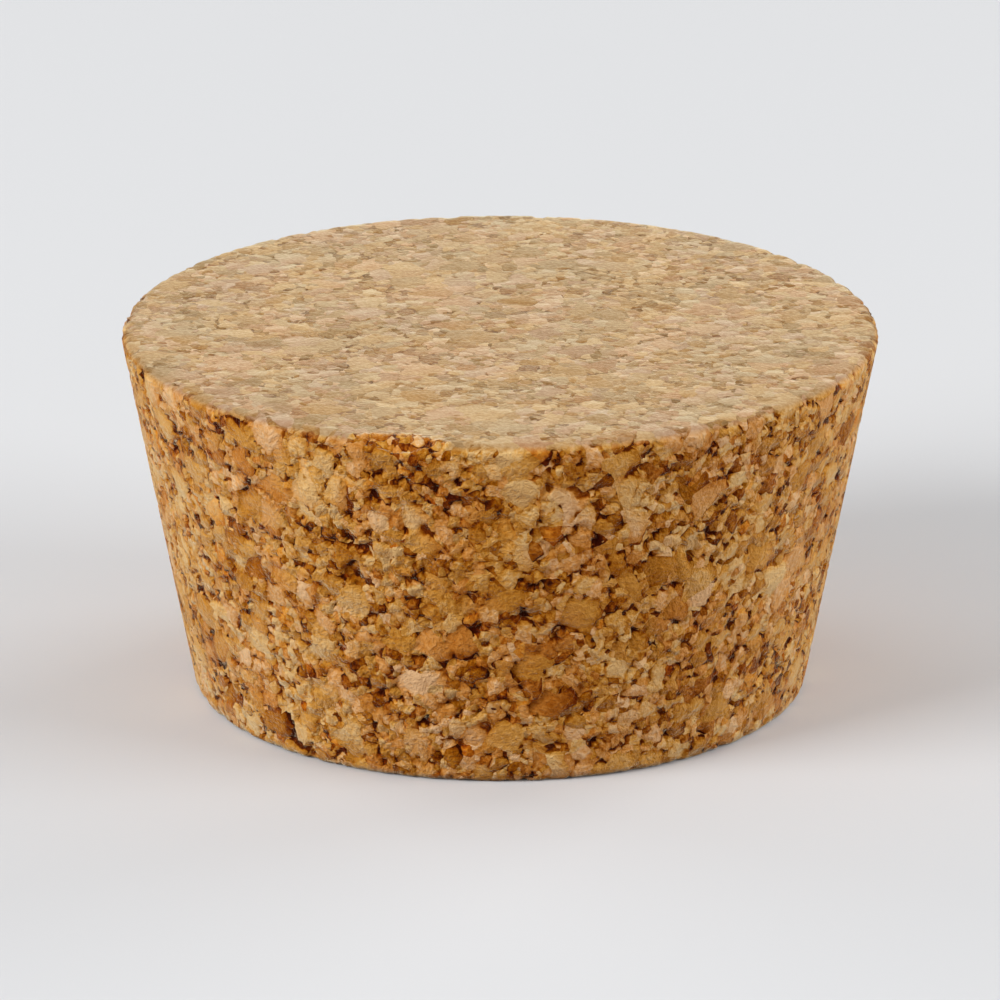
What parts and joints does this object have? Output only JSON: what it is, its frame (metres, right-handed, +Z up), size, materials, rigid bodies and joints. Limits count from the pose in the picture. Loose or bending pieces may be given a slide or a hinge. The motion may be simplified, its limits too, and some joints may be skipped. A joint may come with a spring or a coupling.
{
  "type": "cork stopper",
  "caption": "Tapered round stopper of pressed cork granules, wider at the top, with flat ends and crisp rims, for plugging a jar or flask mouth.",
  "frame": {"origin": "centre of the flat foot, the narrow end that the stopper stands on", "axes": "+Z up along the stopper's axis, from the narrow foot to the wide top; -Y is the side that faces the picture's camera"},
  "size_m": [0.0608, 0.0608, 0.03],
  "materials": {
    "cork": "pressed cork granules, ends sanded flat, wall ground to a taper and left open-grained, dry and matt"
  },
  "bodies": {
    "root": {"stopper": "cork"}
  },
  "joints": []
}
